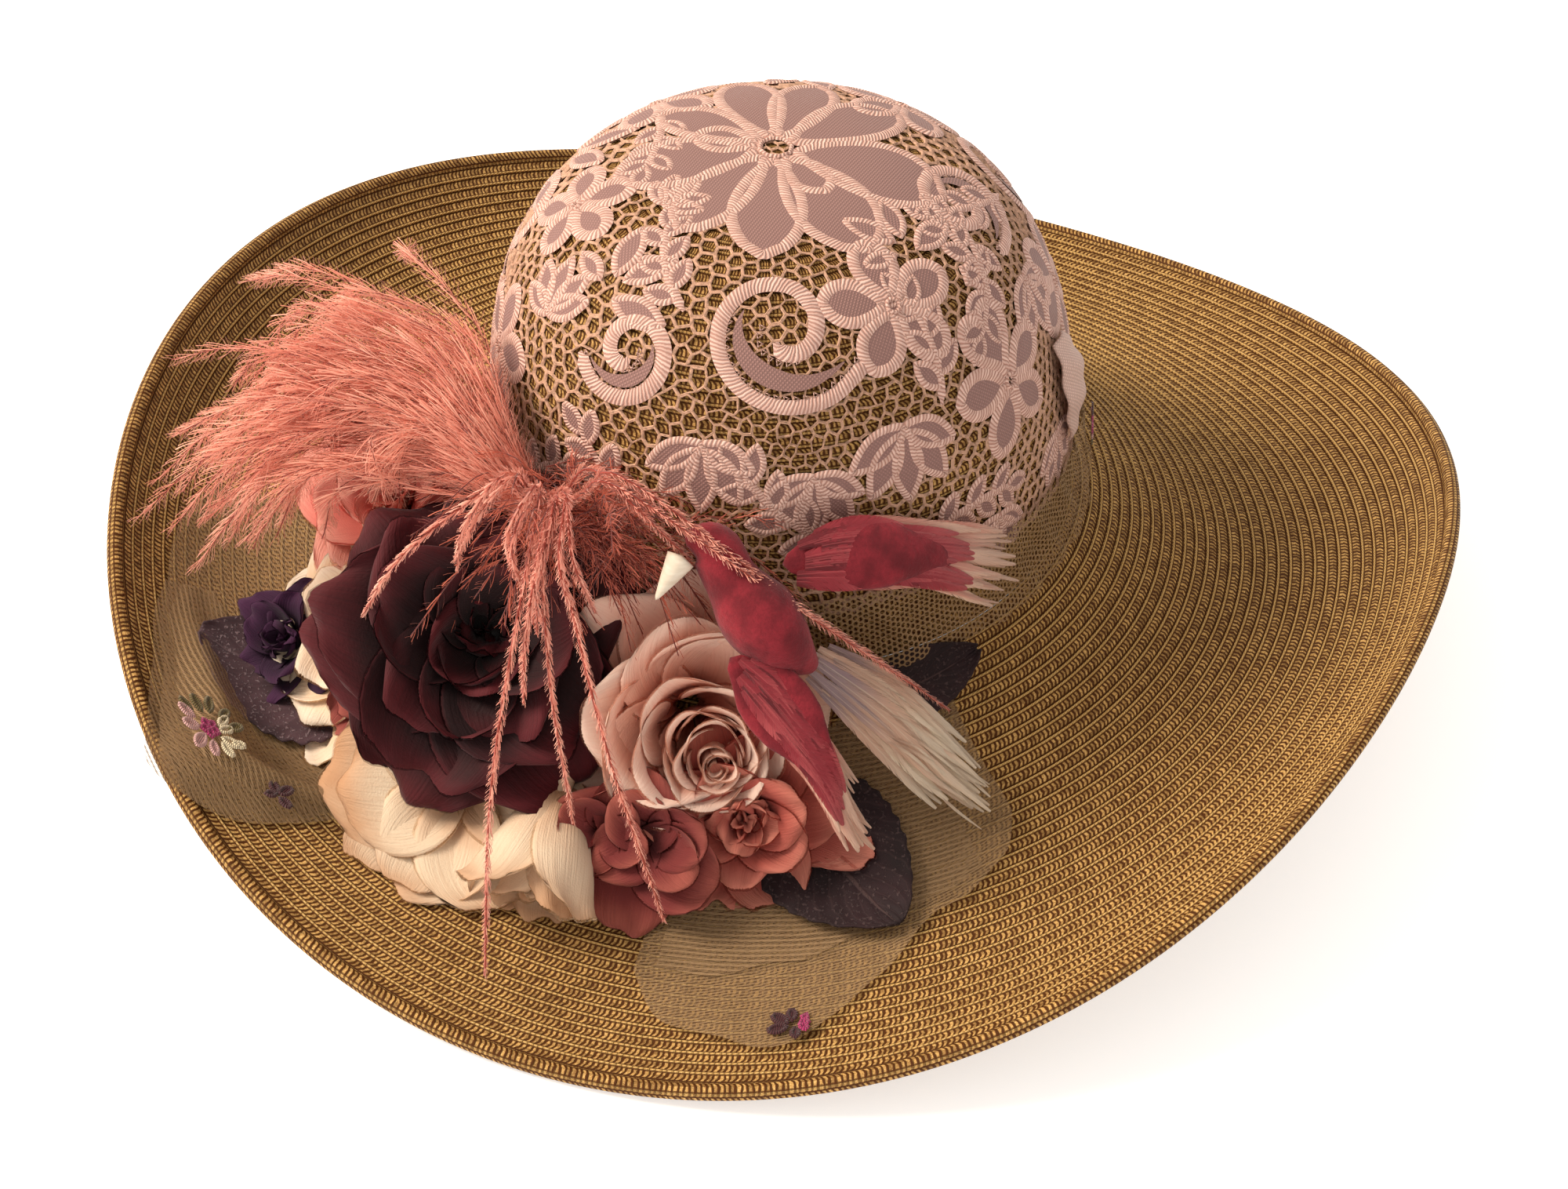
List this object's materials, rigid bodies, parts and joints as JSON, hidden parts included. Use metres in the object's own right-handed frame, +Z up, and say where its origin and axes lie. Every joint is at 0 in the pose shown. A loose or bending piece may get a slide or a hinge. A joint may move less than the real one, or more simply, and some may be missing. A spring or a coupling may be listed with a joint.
{
  "type": "tea party hat",
  "caption": "Wide-brimmed braided straw hat with a lace-covered crown, a tulle scarf, silk roses, leaves, an ostrich plume and a small feathered bird.",
  "frame": {"origin": "middle of the hat's footprint, on the surface that it rests on, brim down", "axes": "+Z up through the crown, -Y towards the wearer's front where the flowers are, +X towards the wearer's left"},
  "size_m": [0.4294, 0.4508, 0.1685],
  "materials": {
    "straw": "ribbed braid, satin straw",
    "straw_edge": "rolled braid, satin straw",
    "lace": "corded lace over an open net",
    "tulle": "fine see-through net",
    "burgundy_silk": "matte silk",
    "blush_silk": "matte silk",
    "cream_silk": "satin silk",
    "coral_silk": "matte silk",
    "dusty_coral_silk": "matte silk",
    "plum_silk": "matte silk",
    "slate_leaf": "matte speckled",
    "plume": "soft feather",
    "bird": "short dyed feather",
    "feather": "soft feather",
    "beak": "matte"
  },
  "bodies": {
    "root": {"crown": "straw", "brim": "straw", "brim_edge_roll": "straw_edge", "lace_cover": "lace", "lace_flap": "lace", "net_band": "tulle", "net_veil_front": "tulle", "net_veil_left": "tulle", "leaf_left": "slate_leaf", "leaf_front": "plum_silk", "leaf_back": "plum_silk", "bird_body": "bird", "bird_beak": "beak", "wing_upper": "bird", "wing_lower": "bird", "tail_feathers": "feather", "plume": "plume", "rose_burgundy": "burgundy_silk", "rose_blush": "blush_silk", "rose_cream_left": "cream_silk", "rose_cream_front": "cream_silk", "bud_cream": "cream_silk", "flower_coral": "coral_silk", "petals_dusty": "dusty_coral_silk", "flower_purple": "plum_silk", "flower_hydrangea": "dusty_coral_silk", "flower_carnation": "coral_silk"}
  },
  "joints": []
}
